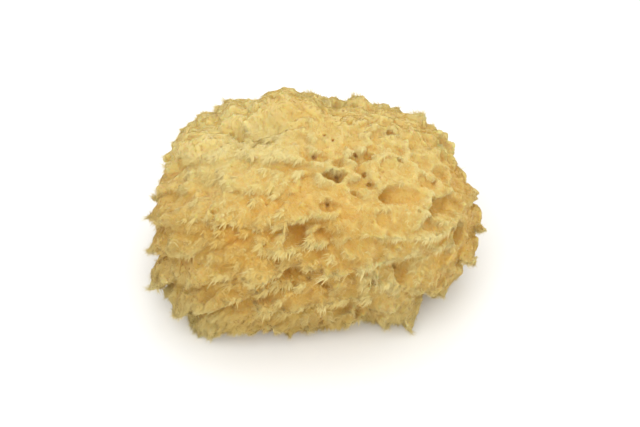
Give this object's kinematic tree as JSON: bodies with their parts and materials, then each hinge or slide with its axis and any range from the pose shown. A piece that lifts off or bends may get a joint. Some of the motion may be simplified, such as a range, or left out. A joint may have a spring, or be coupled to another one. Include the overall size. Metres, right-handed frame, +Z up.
{
  "type": "natural sea sponge",
  "caption": "Natural bath sponge with a rounded, ragged body of lumps, torn ledges and pits, flat where it was cut off the rock, for washing and soaking up water.",
  "frame": {"origin": "middle of the box's underside, on the flat cut that the sponge rests on", "axes": "+Z up from the cut, +X along the sponge's length, -Y towards the side with the laid-out pits and ledges"},
  "size_m": [0.1526, 0.1138, 0.0806],
  "materials": {
    "spongin": "dry, matt and fibrous"
  },
  "bodies": {
    "root": {"sponge": "spongin"}
  },
  "joints": []
}
